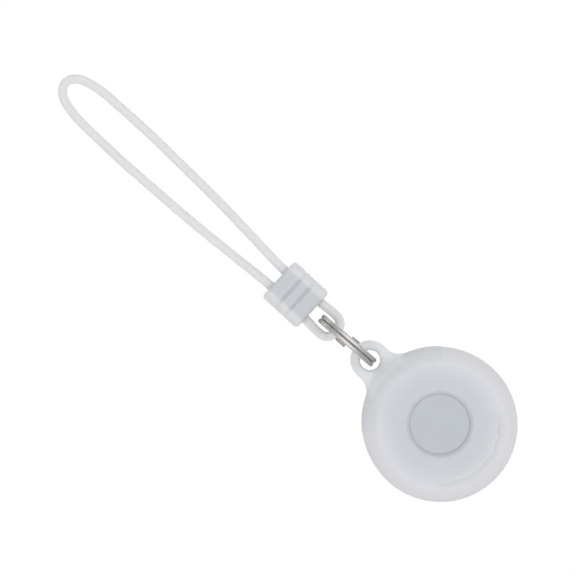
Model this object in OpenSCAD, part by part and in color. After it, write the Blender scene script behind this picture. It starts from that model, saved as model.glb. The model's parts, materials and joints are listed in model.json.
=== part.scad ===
// Tracker tag holder: a soft round case with a lug, a split ring and a cord loop with a ribbed slider.
// The case holds a round tracker tag, which is built up from its own shells, board, speaker and cell.
// +X runs from the case along the strap, +Z points up from the surface that everything lies on.

/* [Case] */
// Thickness of the soft rim round the tag's edge
case_side = 3.45; // [2.6:0.05:5]
// Wall over the tag's two faces
case_wall = 1.2; // [0.8:0.05:2]
// Radius of the rim's rounding
rim_r = 4.2; // [2.5:0.1:4.6]
// Diameter of the window in the upper face
window_d = 16; // [8:0.1:24]
// Diameter of the opening in the lower face that the tag is pushed in by
back_d = 25; // [12:0.1:28]
// Gap between the tag and its pocket
tag_fit = 0.1; // [0.05:0.01:0.3]

/* [Lug] */
// Distance from the edge of the case to the middle of the lug's hole
lug_out = 4.7; // [4:0.1:8]
// Radius of the lug's round end
lug_r = 5; // [4.2:0.1:6.5]
// Diameter of the lug's hole
lug_hole_d = 5.1; // [4.8:0.1:6]
// Thickness of the lug
lug_t = 2.6; // [2:0.1:3.2]
// Height of the lug's middle above the middle of the case
lug_lift = 0.2; // [0:0.05:0.6]
// Radius of the hollow corner where the lug meets the case
knee_r = 2; // [0.5:0.1:3]

/* [Split ring] */
// Outer diameter of the split ring
ring_d = 17.8; // [16:0.1:24]
// Distance from the middle of the lug's hole to the wire that passes through it
ring_in_hole = 0.25; // [0:0.01:0.5]
// Thickness of the flat wire along the ring's axis
wire_w = 0.82; // [0.6:0.02:0.9]
// Width of the flat wire from the inside to the outside of the ring
wire_h = 1.6; // [1.2:0.05:1.8]
// Free gap between the two turns
turn_gap = 0.5; // [0.42:0.02:0.6]
// Turn of the ring about the lug's hole as it lies, in degrees
ring_yaw = 2; // [0:0.5:4]

/* [Slider] */
// Length of the slider along the strap
slider_l = 12.05; // [9:0.05:16]
// Width of the slider
slider_w = 12.35; // [11:0.05:15]
// Thickness of the slider
slider_t = 6.8; // [5.6:0.1:8]
// Distance from the split ring to the slider
slider_gap = 2.61; // [1.8:0.05:3]
// Diameter of each bore that a strand runs in
bore_d = 3; // [2.8:0.05:3.4]
// Distance between the two bores
bore_pitch = 5.5; // [5.4:0.02:5.6]
// Width of each groove round the slider
groove_w = 0.7; // [0.4:0.05:1.2]
// Depth of each groove
groove_depth = 0.35; // [0.2:0.05:0.6]
// Distance between the two grooves
groove_pitch = 3.1; // [2:0.1:5]

/* [Cord] */
// Diameter of the cord
cord_d = 2.35; // [1.8:0.05:2.4]

/* [Tracker tag] */
// Diameter of the coin cell
cell_d = 20; // [16:0.1:24]
// Thickness of the coin cell
cell_h = 3.2; // [2.6:0.1:5]
// How far the steel battery cover reaches past the cell's edge
cover_lap = 2.2; // [1.8:0.05:3]
// Thickness of the steel battery cover
cover_t = 0.35; // [0.3:0.05:0.5]
// Width of the plastic rim round the battery cover
tag_rim_w = 3.75; // [3.1:0.05:5]
// Radius of the tag's rounded edge
tag_edge_r = 3.4; // [2.8:0.1:3.6]
// Wall of the tag's plastic shells
tag_wall = 0.9; // [0.7:0.05:1]
// Thickness of the circuit board
board_t = 0.8; // [0.6:0.05:0.9]
// Room for the parts between the circuit board and the front wall
front_room = 1.4; // [1.2:0.05:2]

/* [Hidden] */

// How far every cut runs past the surface that it opens
over = 0.5;
// Gap between round pieces that sit in one another
seat_fit = 0.02;
$fn = 96;

// Heights inside the tag, counted from the outside of its front face
cover_gap = 0.25;
cell_gap = 0.3;
floor_t = 0.6;
board_gap = 0.2;
board_z = tag_wall + front_room;
board_top = board_z + board_t;
floor_z = board_top + board_gap;
floor_top = floor_z + floor_t;
cell_z = floor_top + cell_gap;
cell_top = cell_z + cell_h;
cover_z = cell_top + cover_gap;
tag_h = cover_z + cover_t;

// Diameters of the tag, counted from the cell outwards
cover_d = cell_d + 2 * cover_lap;
tag_d = cover_d + 2 * tag_rim_w;
tag_r = tag_d / 2;

// Case
case_r = tag_r + tag_fit + case_side;
case_h = tag_h + 2 * (case_wall + tag_fit);
tag_z = case_wall + tag_fit;
lip_r = case_wall / 2;

// Rounded edges, which leave at least a narrow flat band between them
edge_flat = 0.1;
tag_edge = min(tag_edge_r, tag_h / 2 - edge_flat);
case_edge = min(rim_r, case_h / 2 - edge_flat);

// Lug: the collar is the swelling of the rim that the lug grows out of
lug_x = case_r + lug_out;
lug_z = case_h / 2 + lug_lift;
collar_shift = 1.2;
collar_less = 0.4;
collar_r = case_r - collar_less;
knee_reach = collar_r + knee_r;
knee_y = lug_r + knee_r;
knee_x = collar_shift + sqrt(knee_reach * knee_reach - knee_y * knee_y);
knee_touch = [
    collar_shift + (knee_x - collar_shift) * collar_r / knee_reach,
    knee_y * collar_r / knee_reach
];

// Split ring: it stands on its edge, and its wire passes through the lug's hole
ring_r = (ring_d - wire_h) / 2;
ring_z = ring_d / 2;
ring_drop = ring_z - lug_z;
ring_reach = ring_in_hole + sqrt(ring_r * ring_r - ring_drop * ring_drop);
lane_y = (wire_w + turn_gap) / 2;
tab_gap = 0.42;
tab_y = wire_w + tab_gap;
wire_chamfer = 0.25;
tab_run = 2.5;
tab_ramp = 0.6;
tab_deg = (tab_run / ring_r) * 180 / PI;
ramp_deg = (tab_ramp / ring_r) * 180 / PI;
turn_deg = 360;
ring_step_deg = 10;
ring_roll_deg = 4;
fine_step_deg = 3;

// Strap
strap_y = 0.6;
ring_far_x = lug_x + ring_reach + ring_z;
slider_x = ring_far_x + slider_gap;
slider_z = slider_t / 2;
slider_edge_r = 2.6;
slider_corner_r = 1.3;
groove_shift = 0.2;

// The origin lies under the middle of the case and ring together
frame_x = (ring_far_x - case_r) / 2;

// Front shell and back frame
split_share = 0.55;
split_z = tag_h * split_share;
rim_in_r = tag_r - tag_wall;
ledge_w = 1.45;
ledge_r = rim_in_r - ledge_w;
rim_fit = 0.05;
skirt_w = 1.1;
skirt_r = rim_in_r - rim_fit;
skirt_in_r = skirt_r - skirt_w;
bay_fit = 0.2;
bay_wall = 0.7;
bay_r = cell_d / 2 + bay_fit;
bay_out_r = bay_r + bay_wall;
recess_fit = 0.25;
recess_r = cover_d / 2 + recess_fit;
shelf_t = 0.6;
seal_h = 0.35;
seal_gap = 0.05;
cover_ring_h = 1.15;
ring_bottom = cover_z - cover_ring_h;
shelf_top = ring_bottom - seal_h - seal_gap;
shelf_z = shelf_top - shelf_t;

// Bayonet between the cover's ring and the back frame
tab_count = 3;
tab_w_deg = 14;
twist_deg = 20;
play_deg = 1.5;
way_in_deg = 0.8;
tab_out = 0.55;
tab_h = 0.5;
tab_play = 0.1;
tab_z = ring_bottom + tab_play;

// Cover's ring and seal
ring_fit = 0.1;
cover_ring_r = cover_d / 2 - ring_fit;
ring_bay_gap = 0.2;
cover_ring_in_r = bay_r + ring_bay_gap;
seal_w = 1;
seal_inset = 0.2;
cover_edge_share = 0.4;
cover_edge_r = cover_t * cover_edge_share;

// Coin cell
can_t = 0.3;
cap_t = 0.25;
cap_inset = 1.2;
can_lift = 0.3;
cell_r = cell_d / 2;
cap_r = cell_r - cap_inset;
cap_h_share = 0.75;
cap_h = cell_h * cap_h_share;

// Speaker in the middle of the board
cup_r = 4.9;
cup_wall = 0.5;
cup_gap = 0.4;
magnet_r = 2.7;
magnet_gap = 0.5;
coil_in_r = 3.2;
coil_w = 0.7;
coil_h = 1.1;

// Board and what is soldered to it
board_fit = 0.15;
board_r = rim_in_r - board_fit;
board_bore_gap = 0.3;
board_in_r = cup_r + board_bore_gap;
chip_ring_r = (board_in_r + ledge_r) / 2;
main_chip_size = [5, 5, 0.9];
radio_chip_size = [4.2, 6.2, 1];
small_part_size = [1, 0.5, 0.5];
small_part_count = 12;
small_part_skip_deg = 34;
antenna_t = 0.2;
antenna_w = 1.4;
antenna_deg = 330;
antenna_inset = 0.3;

// Sprung contacts, bent from strip
strip_t = 0.15;
strip_w = 1.6;
slot_play = 0.4;
slot_w = strip_w + 2 * slot_play;
pad_l = 1.6;
minus_share = 1 / 3;
minus_x = cup_r + (cell_r - cup_r) * minus_share;
minus_rise = 2.4;
minus_land = 0.9;
plus_angles = [50, 130];
plus_stand = 0.35;
plus_tip_gap = 0.03;

// Route of the cord's centre on one side: along the strap, out from its middle, and height
half_route = [
    [35.4, 0, 4.8], [35.45, 1, 4.8], [35.75, 1.9, 4.8], [36.4, 2.55, 4.8], [37.3, 2.95, 4.7],
    [38.3, 3.1, 4.55], [39.5, 3.15, 4.35], [41.3, 3.05, 3.9], [43.3, 2.85, 3.45], [46.3, 2.8, 3.4],
    [49.3, 2.75, 3.4], [52.3, 2.7, 3.4], [55.4, 2.65, 3.4], [58, 2.75, 3.25], [62, 3, 2.6],
    [66, 3.3, 1.9], [70, 3.55, 1.4], [75, 3.9, 1.2], [80, 4.2, 1.2], [85, 4.4, 1.2],
    [90, 4.55, 1.2], [95, 4.7, 1.2], [100, 4.85, 1.2], [105, 4.95, 1.2], [110, 4.9, 1.2],
    [114, 4.85, 1.2], [117.5, 4.8, 1.2], [120.5, 4.6, 1.2], [123, 4.2, 1.2], [125.2, 3.65, 1.2],
    [126.9, 2.8, 1.2], [128.1, 1.6, 1.2], [128.6, 0, 1.2]
];
cord_sides = 8;
half_count = len(half_route);
cord_route = [
    for (p = half_route) [p.x, strap_y + p.y, p.z],
    for (i = [half_count - 2 : -1 : 1]) [half_route[i].x, strap_y - half_route[i].y, half_route[i].z]
];

// Shared helpers
module in_frame() {
    translate([-frame_x, 0, 0]) children();
}

module in_tag() {
    in_frame() translate([0, 0, tag_z]) children();
}

// Half outline of a disc with a rounded edge, to be turned about the axis
module disc_outline(r, z0, z1, edge) {
    translate([0, z0]) square([r - edge, z1 - z0]);
    translate([0, z0 + edge]) square([r, z1 - z0 - 2 * edge]);
    for (z = [z0 + edge, z1 - edge]) {
        translate([r - edge, z]) circle(r = edge);
    }
}

// Half outline of a plain ring between two radii
module band(r_in, r_out, z0, z1) {
    translate([r_in, z0]) square([r_out - r_in, z1 - z0]);
}

module rounded_rect(w, h, r) {
    square([w - 2 * r, h], center = true);
    square([w, h - 2 * r], center = true);
    for (x = [-1, 1], y = [-1, 1]) {
        translate([x * (w / 2 - r), y * (h / 2 - r)]) circle(r = r, $fn = 48);
    }
}

function unit(v) = v / norm(v);
function smooth(t) = t * t * (3 - 2 * t);
function clamp(t) = min(max(t, 0), 1);

// Joins rings of points into triangles; closed makes an endless tube, else both ends are capped
function tube_faces(rings, sides, closed) = concat(
    [for (i = [0 : rings - (closed ? 1 : 2)], j = [0 : sides - 1])
        let (a = i * sides, b = ((i + 1) % rings) * sides, k = (j + 1) % sides)
        each [[a + j, b + k, b + j], [a + j, a + k, b + k]]],
    closed ? [] : [for (j = [1 : sides - 2]) [0, j + 1, j]],
    closed ? [] : [for (j = [1 : sides - 2]) let (e = (rings - 1) * sides) [e, e + j, e + j + 1]]
);

// Case: one soft moulding with a pocket for the tag, a window, a back opening and a lug
module lug_plan() {
    translate([collar_shift, 0]) circle(r = collar_r);
    translate([lug_x, 0]) circle(r = lug_r);
    translate([0, -lug_r]) square([lug_x, 2 * lug_r]);
    for (side = [-1, 1]) {
        scale([1, side]) difference() {
            polygon([knee_touch, [knee_x, knee_y], [knee_x, 0], [knee_touch.x, 0]]);
            translate([knee_x, knee_y]) circle(r = knee_r, $fn = 64);
        }
    }
}

module case_shell() {
    color([0.86, 0.87, 0.89]) in_frame() difference() {
        union() {
            rotate_extrude($fn = 128) disc_outline(case_r, 0, case_h, case_edge);
            translate([0, 0, lug_z - lug_t / 2]) linear_extrude(lug_t) lug_plan();
        }
        rotate_extrude($fn = 128) {
            disc_outline(tag_r + tag_fit, case_wall, case_h - case_wall, tag_edge + tag_fit);
        }
        rotate_extrude($fn = 128) difference() {
            band(0, window_d / 2 + lip_r, case_h - case_wall - over, case_h + over);
            translate([window_d / 2 + lip_r, case_h - lip_r]) circle(r = lip_r);
        }
        rotate_extrude($fn = 128) difference() {
            band(0, back_d / 2 + lip_r, -over, case_wall + over);
            translate([back_d / 2 + lip_r, lip_r]) circle(r = lip_r);
        }
        translate([lug_x, 0, lug_z - lug_t / 2 - over]) cylinder(h = lug_t + 2 * over, d = lug_hole_d);
    }
}

// Front shell: the tag's white cup, which is also the speaker's cone
module front_shell() {
    color([0.93, 0.93, 0.93]) in_tag() rotate_extrude($fn = 128) difference() {
        disc_outline(tag_r, 0, tag_h, tag_edge);
        band(0, tag_r + over, split_z, tag_h + over);
        band(0, ledge_r, tag_wall, board_z + over);
        band(0, rim_in_r, board_z, split_z + over);
    }
}

// Back frame: closes the cup, clamps the board, and holds the cell bay and the bayonet
module back_frame() {
    color([0.88, 0.88, 0.88]) in_tag() difference() {
        rotate_extrude($fn = 128) {
            difference() {
                disc_outline(tag_r, 0, tag_h, tag_edge);
                band(0, tag_r + over, -over, split_z);
                band(0, skirt_in_r, split_z - over, shelf_z);
                band(0, recess_r, split_z - over, tag_h + over);
            }
            band(skirt_in_r, skirt_r, board_top, split_z);
            band(bay_r, recess_r, shelf_z, shelf_top);
            band(bay_r, bay_out_r, floor_z, shelf_top);
            band(0, bay_out_r, floor_z, floor_top);
        }
        for (i = [0 : tab_count - 1]) {
            rotate([0, 0, i * turn_deg / tab_count - play_deg]) {
                rotate_extrude(angle = tab_w_deg + twist_deg + 2 * play_deg) {
                    band(recess_r - tab_play, recess_r + tab_out, tab_z - tab_play, tab_z + tab_h + tab_play);
                }
            }
            rotate([0, 0, i * turn_deg / tab_count + twist_deg - way_in_deg]) {
                rotate_extrude(angle = tab_w_deg + 2 * way_in_deg) {
                    band(recess_r - tab_play, recess_r + tab_out + tab_play, tab_z, tag_h + over);
                }
            }
        }
        translate([minus_x - minus_rise - minus_land - slot_play, -slot_w / 2, floor_z - over]) {
            cube([minus_rise + minus_land + pad_l + 2 * slot_play, slot_w, floor_t + 2 * over]);
        }
        for (a = plus_angles) {
            rotate([0, 0, a]) translate([cell_r - over, -slot_w / 2, floor_z - over]) {
                cube([bay_wall + bay_fit + over + plus_stand, slot_w, shelf_z - floor_z + over]);
            }
        }
    }
}

// Speaker: the coil is glued to the shell and moves round the magnet in its steel cup
module voice_coil() {
    color([0.72, 0.45, 0.2]) in_tag() rotate_extrude() {
        band(coil_in_r, coil_in_r + coil_w, tag_wall, tag_wall + coil_h);
    }
}

module magnet_cup() {
    color([0.6, 0.61, 0.63]) in_tag() rotate_extrude() {
        band(0, cup_r, floor_z - cup_gap, floor_z);
        band(cup_r - cup_wall, cup_r, tag_wall + cup_gap, floor_z);
    }
}

module speaker_magnet() {
    color([0.5, 0.5, 0.52]) in_tag() translate([0, 0, tag_wall + magnet_gap]) {
        cylinder(h = floor_z - cup_gap - tag_wall - magnet_gap, r = magnet_r);
    }
}

// Circuit board: a ring round the speaker, on the front shell's ledge
module circuit_board() {
    color([0.12, 0.35, 0.22]) in_tag() rotate_extrude() band(board_in_r, board_r, board_z, board_top);
}

module board_block(size, a) {
    rotate([0, 0, a]) translate([chip_ring_r - size.x / 2, -size.y / 2, board_z - size.z]) cube(size);
}

module main_chip() {
    color([0.12, 0.12, 0.13]) in_tag() board_block(main_chip_size, 0);
}

module radio_chip() {
    color([0.7, 0.7, 0.68]) in_tag() board_block(radio_chip_size, turn_deg / 2);
}

module board_parts() {
    sweep = turn_deg / 2 - 2 * small_part_skip_deg;
    per_side = small_part_count / 2;
    color([0.62, 0.5, 0.36]) in_tag() for (side = [0, 1], i = [0 : per_side - 1]) {
        a = side * turn_deg / 2 + small_part_skip_deg + i * sweep / (per_side - 1);
        board_block(small_part_size, a);
    }
}

module antenna_loop() {
    outer = skirt_in_r - antenna_inset;
    color([0.8, 0.62, 0.3]) in_tag() rotate_extrude(angle = antenna_deg) {
        band(outer - antenna_w, outer, shelf_z - antenna_t, shelf_z);
    }
}

// Contacts: strips soldered to the board that press on the cell
module minus_contact() {
    low = board_top;
    high = cell_z;
    bend = minus_x - minus_rise;
    color([0.83, 0.74, 0.5]) in_tag() translate([0, strip_w / 2, 0]) rotate([90, 0, 0]) {
        linear_extrude(strip_w) polygon([
            [minus_x + pad_l, low], [minus_x, low], [bend, high - strip_t],
            [bend - minus_land, high - strip_t], [bend - minus_land, high], [bend, high],
            [minus_x, low + strip_t], [minus_x + pad_l, low + strip_t]
        ]);
    }
}

module plus_contacts() {
    low = board_top;
    stand = bay_out_r + plus_stand;
    tip = cell_r + plus_tip_gap;
    head = shelf_z - slot_play;
    bump = (floor_top + head) / 2;
    color([0.83, 0.74, 0.5]) in_tag() for (a = plus_angles) {
        rotate([0, 0, a]) translate([0, strip_w / 2, 0]) rotate([90, 0, 0]) {
            linear_extrude(strip_w) polygon([
                [stand + pad_l, low], [stand - strip_t, low], [stand - strip_t, floor_top], [tip, bump],
                [stand - strip_t, head], [stand, head], [tip + strip_t, bump], [stand, floor_top],
                [stand, low + strip_t], [stand + pad_l, low + strip_t]
            ]);
        }
    }
}

// Coin cell: can, seal, cap and the pressed filling between them
module cell_can() {
    color([0.75, 0.76, 0.78]) in_tag() rotate_extrude() {
        band(0, cell_r, cell_top - can_t, cell_top);
        band(cell_r - can_t, cell_r, cell_z + can_lift, cell_top);
    }
}

module cell_cap() {
    color([0.7, 0.71, 0.73]) in_tag() rotate_extrude() {
        band(0, cap_r, cell_z, cell_z + cap_t);
        band(cap_r - cap_t, cap_r, cell_z, cell_z + cap_h);
    }
}

module cell_seal() {
    color([0.2, 0.2, 0.22]) in_tag() rotate_extrude() difference() {
        band(cap_r + seat_fit, cell_r - can_t - seat_fit, cell_z + can_lift, cell_top - can_t);
        band(0, cap_r + seat_fit, cell_z, cell_z + cap_h);
    }
}

module cell_pellet() {
    color([0.25, 0.25, 0.26]) in_tag() rotate_extrude() {
        band(0, cap_r - cap_t - seat_fit, cell_z + cap_t, cell_top - can_t);
    }
}

// Battery cover: a steel disc on a plastic bayonet ring with a rubber seal under it
module battery_cover() {
    r = cover_d / 2;
    color([0.78, 0.79, 0.81]) in_tag() rotate_extrude($fn = 128) {
        band(0, r - cover_edge_r, cover_z, tag_h);
        band(0, r, cover_z, tag_h - cover_edge_r);
        translate([r - cover_edge_r, tag_h - cover_edge_r]) circle(r = cover_edge_r, $fn = 32);
    }
}

module cover_ring() {
    color([0.9, 0.9, 0.9]) in_tag() {
        rotate_extrude() band(cover_ring_in_r, cover_ring_r, ring_bottom, cover_z);
        for (i = [0 : tab_count - 1]) {
            rotate([0, 0, i * turn_deg / tab_count]) rotate_extrude(angle = tab_w_deg) {
                band(cover_ring_r - tab_play, recess_r + tab_out - tab_play, tab_z, tab_z + tab_h);
            }
        }
    }
}

module cover_seal() {
    outer = cover_ring_r - seal_inset;
    color([0.15, 0.15, 0.16]) in_tag() rotate_extrude() {
        band(outer - seal_w, outer, ring_bottom - seal_h, ring_bottom);
    }
}

// Split ring: flat wire in two turns, which change sides near the floor between the two lifted ends
function lane(a) =
    a < tab_deg + ramp_deg ? -lane_y - (tab_y - lane_y) * smooth(clamp((tab_deg + ramp_deg - a) / ramp_deg))
    : a > 2 * turn_deg - tab_deg - ramp_deg ? -lane(2 * turn_deg - a)
    : lane_y * (2 * smooth(clamp((a - turn_deg + tab_deg) / (2 * tab_deg))) - 1);

wire_half_w = wire_w / 2;
wire_half_h = wire_h / 2;
wire_flat_w = wire_half_w - wire_chamfer;
wire_flat_h = wire_half_h - wire_chamfer;
wire_outline = [
    [wire_half_w, wire_flat_h], [wire_flat_w, wire_half_h], [-wire_flat_w, wire_half_h],
    [-wire_half_w, wire_flat_h], [-wire_half_w, -wire_flat_h], [-wire_flat_w, -wire_half_h],
    [wire_flat_w, -wire_half_h], [wire_half_w, -wire_flat_h]
];

function wire_section(a) = [
    for (p = wire_outline) [-(ring_r + p.y) * sin(a), lane(a) - p.x, -(ring_r + p.y) * cos(a)]
];

near_deg = ceil((tab_deg + ramp_deg) / fine_step_deg) * fine_step_deg;
wire_angles = [
    for (a = [0 : fine_step_deg : near_deg - fine_step_deg]) a,
    for (a = [near_deg : ring_step_deg : turn_deg - near_deg - 1]) a,
    for (a = [turn_deg - near_deg : fine_step_deg : turn_deg + near_deg - fine_step_deg]) a,
    for (a = [turn_deg + near_deg : ring_step_deg : 2 * turn_deg - near_deg - 1]) a,
    for (a = [2 * turn_deg - near_deg : fine_step_deg : 2 * turn_deg]) a
];

module split_ring() {
    points = [for (a = wire_angles) each wire_section(a)];
    color([0.62, 0.62, 0.63]) in_frame() translate([lug_x, 0, ring_z]) rotate([0, 0, ring_yaw]) {
        translate([ring_reach, 0, 0]) rotate([0, ring_roll_deg, 0])
            polyhedron(points, tube_faces(len(wire_angles), len(wire_outline), false));
    }
}

// Cord: one endless loop that passes through the ring and twice through the slider
function cord_section(i) =
    let (
        n = len(cord_route),
        ahead = unit(cord_route[(i + 1) % n] - cord_route[(i + n - 1) % n]),
        across = unit(cross(ahead, [0, 0, 1])),
        up = cross(across, ahead)
    )
    [for (j = [0 : cord_sides - 1]) let (t = j * turn_deg / cord_sides)
        cord_route[i] + cord_d / 2 * (cos(t) * across + sin(t) * up)];

module strap_cord() {
    n = len(cord_route);
    points = [for (i = [0 : n - 1]) each cord_section(i)];
    color([0.88, 0.88, 0.89]) in_frame() polyhedron(points, tube_faces(n, cord_sides, true));
}

// Slider: a soft ribbed bead with a bore for each strand
module slider_body(l, w, t, edge, corner) {
    intersection() {
        rotate([90, 0, 90]) linear_extrude(l, center = true) rounded_rect(w, t, edge);
        linear_extrude(t + 2 * over, center = true) rounded_rect(l, w, corner);
    }
}

module slider_groove() {
    rotate([90, 0, 90]) linear_extrude(groove_w, center = true) difference() {
        square([slider_w + 2 * over, slider_t + 2 * over], center = true);
        rounded_rect(slider_w - 2 * groove_depth, slider_t - 2 * groove_depth, slider_edge_r - groove_depth);
    }
}

module strap_slider() {
    middle = [slider_x + slider_l / 2, strap_y, slider_z];
    color([0.78, 0.79, 0.81]) in_frame() translate(middle) difference() {
        slider_body(slider_l, slider_w, slider_t, slider_edge_r, slider_corner_r);
        for (side = [-1, 1]) {
            translate([groove_shift + side * groove_pitch / 2, 0, 0]) slider_groove();
            translate([0, side * bore_pitch / 2, 0]) rotate([0, 90, 0]) {
                cylinder(h = slider_l + 2 * over, d = bore_d, center = true);
            }
        }
    }
}

// Least gap between the ring's two turns, measured on points along the wire
turn_gaps = [for (a = [0 : fine_step_deg : turn_deg]) abs(lane(a + turn_deg) - lane(a)) - wire_w];
echo(least_gap_between_turns = min(turn_gaps));
cord_count = len(cord_route);
cord_steps = [for (i = [0 : cord_count - 1]) norm(cord_route[(i + 1) % cord_count] - cord_route[i])];
function total(v, i = 0) = i < len(v) ? v[i] + total(v, i + 1) : 0;
echo(cord_length = total(cord_steps));
ring_centre = [lug_x + ring_reach * cos(ring_yaw) - frame_x, ring_reach * sin(ring_yaw), ring_z];
echo(frame_x = frame_x, ring_centre = ring_centre);
echo(lug_hole = [lug_x - frame_x, 0, lug_z], slider_from = slider_x - frame_x, case_h = case_h);

case_shell();
front_shell();
back_frame();
voice_coil();
speaker_magnet();
magnet_cup();
circuit_board();
main_chip();
radio_chip();
board_parts();
antenna_loop();
plus_contacts();
minus_contact();
cell_can();
cell_seal();
cell_pellet();
cell_cap();
battery_cover();
cover_ring();
cover_seal();
split_ring();
strap_cord();
strap_slider();
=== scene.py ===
# %% [markdown]
# # A tracker tag holder, piece by piece
# The object is a soft translucent case with a lug. A steel split ring joins it to a loop of silicone
# cord, and a ribbed bead slides on the two strands. Inside the case lies a round tracker tag with a steel
# battery cover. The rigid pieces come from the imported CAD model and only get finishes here. The soft
# pieces and the split ring are made again, because a soft moulding needs rounder forms than a CAD solid
# gives.

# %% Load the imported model
import json
import math

import bpy
import numpy as np
from mathutils import Matrix, Vector


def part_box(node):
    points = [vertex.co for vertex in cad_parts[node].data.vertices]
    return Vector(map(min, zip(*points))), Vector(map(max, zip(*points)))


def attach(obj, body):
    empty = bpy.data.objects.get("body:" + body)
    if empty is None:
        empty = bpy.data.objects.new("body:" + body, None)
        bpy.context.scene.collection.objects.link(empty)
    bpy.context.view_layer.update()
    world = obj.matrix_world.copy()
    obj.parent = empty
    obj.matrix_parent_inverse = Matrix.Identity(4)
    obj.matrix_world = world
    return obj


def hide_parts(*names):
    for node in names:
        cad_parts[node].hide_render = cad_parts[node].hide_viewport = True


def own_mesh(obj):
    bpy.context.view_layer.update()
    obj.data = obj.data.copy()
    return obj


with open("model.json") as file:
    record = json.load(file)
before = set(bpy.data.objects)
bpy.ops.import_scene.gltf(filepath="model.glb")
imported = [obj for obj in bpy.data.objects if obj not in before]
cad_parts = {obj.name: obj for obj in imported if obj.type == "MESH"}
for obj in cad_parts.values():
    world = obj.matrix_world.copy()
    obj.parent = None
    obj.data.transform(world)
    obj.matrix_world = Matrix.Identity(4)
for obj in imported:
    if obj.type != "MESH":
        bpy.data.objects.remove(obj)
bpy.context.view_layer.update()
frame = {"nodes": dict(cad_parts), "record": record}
MM = 0.001
CASE_R = 19.5
case_low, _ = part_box("case_shell")
FRAME_X = -case_low[0] / MM - CASE_R
print("the case's middle lies", round(FRAME_X, 3), "mm behind the origin")

# %% [markdown]
# ## The camera
# The photograph looks straight down on the object, which lies flat with its strap pointing up and to the
# left. A camera needs a place and three axes. Writing its axes as the columns of a matrix is surer than
# turning it by angles: the first column points right in the picture, the second up, and the third back
# towards the camera. The lens is long, so the lens length follows from the distance and the width that
# has to fit.

# %% Place the camera
VIEW_CENTRE = ((51.8 - FRAME_X) * MM, 0.65 * MM)
VIEW_PLANE = 5.0 * MM
VIEW_WIDTH = 145.8 * MM
CAMERA_DISTANCE = 1.5
STRAP_RIGHT, STRAP_UP = -0.7355, 0.6775

camera_data = bpy.data.cameras.new("camera")
camera_data.lens = camera_data.sensor_width * CAMERA_DISTANCE / VIEW_WIDTH
camera = bpy.data.objects.new("camera", camera_data)
bpy.context.scene.collection.objects.link(camera)
right = Vector((STRAP_RIGHT, -STRAP_UP, 0)).normalized()
back = Vector((0, 0, 1))
up = back.cross(right)
camera.matrix_world = Matrix((
    (right.x, up.x, back.x, VIEW_CENTRE[0]),
    (right.y, up.y, back.y, VIEW_CENTRE[1]),
    (right.z, up.z, back.z, VIEW_PLANE + CAMERA_DISTANCE),
    (0, 0, 0, 1),
))
bpy.context.scene.camera = camera
print("lens:", round(camera_data.lens, 1), "mm")

# %% [markdown]
# ## Floor and light
# The photograph is taken on pure white with no shadow, as on a light table. The floor here glows and is
# lit as well. It lies well below the holder, so a strap that hangs down over an edge still shows
# whole. The sky is bright overhead and darker towards the horizon: that is what gives a polished ring its
# dark lines and a soft rim its slightly darker edge. It is also a little dimmer on the strap's side.

# %% Build the floor, the sky and the lamp
scene = bpy.context.scene
scene.view_settings.view_transform = "Standard"
FLOOR_SIZE = 3.0
FLOOR_Z = -70 * MM
FLOOR_GLOW = 0.9
FLOOR_ROUGH = 0.9
FLOOR_SHINE = 0.1
FLOOR_COLOUR = (0.12, 0.12, 0.12, 1)
SKY_TOP = (0.8, 0.8, 0.8, 1)
SKY_SIDE = (0.5, 0.5, 0.5, 1)
SKY_SIDE_UNTIL = 0.05
SKY_TOP_FROM = 0.75
SKY_STRAP_SIDE = 0.8
SKY_DIM_FROM = 0.3
SKY_DIM_TO = 0.9
SKY_STRENGTH = 1.0
LAMP_POWER = 5.7
LAMP_SIZE = 1.8
LAMP_PLACE = (-0.05, 0.0, 1.3)


def link(tree, source, target):
    tree.links.new(source, target)


def floor_material():
    made = bpy.data.materials.new("floor")
    made.use_nodes = True
    nodes = made.node_tree.nodes
    surface = nodes["Principled BSDF"]
    surface.inputs["Base Color"].default_value = FLOOR_COLOUR
    surface.inputs["Roughness"].default_value = FLOOR_ROUGH
    surface.inputs["Specular IOR Level"].default_value = FLOOR_SHINE
    surface.inputs["Emission Color"].default_value = (1, 1, 1, 1)
    surface.inputs["Emission Strength"].default_value = FLOOR_GLOW
    return made


half = FLOOR_SIZE / 2
floor_mesh = bpy.data.meshes.new("floor")
corners = [(x, y, FLOOR_Z) for x, y in ((-half, -half), (half, -half), (half, half), (-half, half))]
floor_mesh.from_pydata(corners, [], [(0, 1, 2, 3)])
floor = bpy.data.objects.new("floor", floor_mesh)
floor_mesh.materials.append(floor_material())
scene.collection.objects.link(floor)

world = bpy.data.worlds.new("sky")
scene.world = world
world.use_nodes = True
sky_nodes = world.node_tree.nodes
sky_coordinates = sky_nodes.new("ShaderNodeTexCoord")
sky_parts = sky_nodes.new("ShaderNodeSeparateXYZ")
sky_ramp = sky_nodes.new("ShaderNodeValToRGB")
sky_ramp.color_ramp.elements[0].color = SKY_SIDE
sky_ramp.color_ramp.elements[0].position = SKY_SIDE_UNTIL
sky_ramp.color_ramp.elements[1].color = SKY_TOP
sky_ramp.color_ramp.elements[1].position = SKY_TOP_FROM
sky_ramp.color_ramp.interpolation = "EASE"
link(world.node_tree, sky_coordinates.outputs["Generated"], sky_parts.inputs[0])
link(world.node_tree, sky_parts.outputs["Z"], sky_ramp.inputs["Fac"])
link(world.node_tree, sky_ramp.outputs["Color"], sky_nodes["Background"].inputs["Color"])
sky_dim = sky_nodes.new("ShaderNodeMapRange")
link(world.node_tree, sky_parts.outputs["X"], sky_dim.inputs["Value"])
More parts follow.
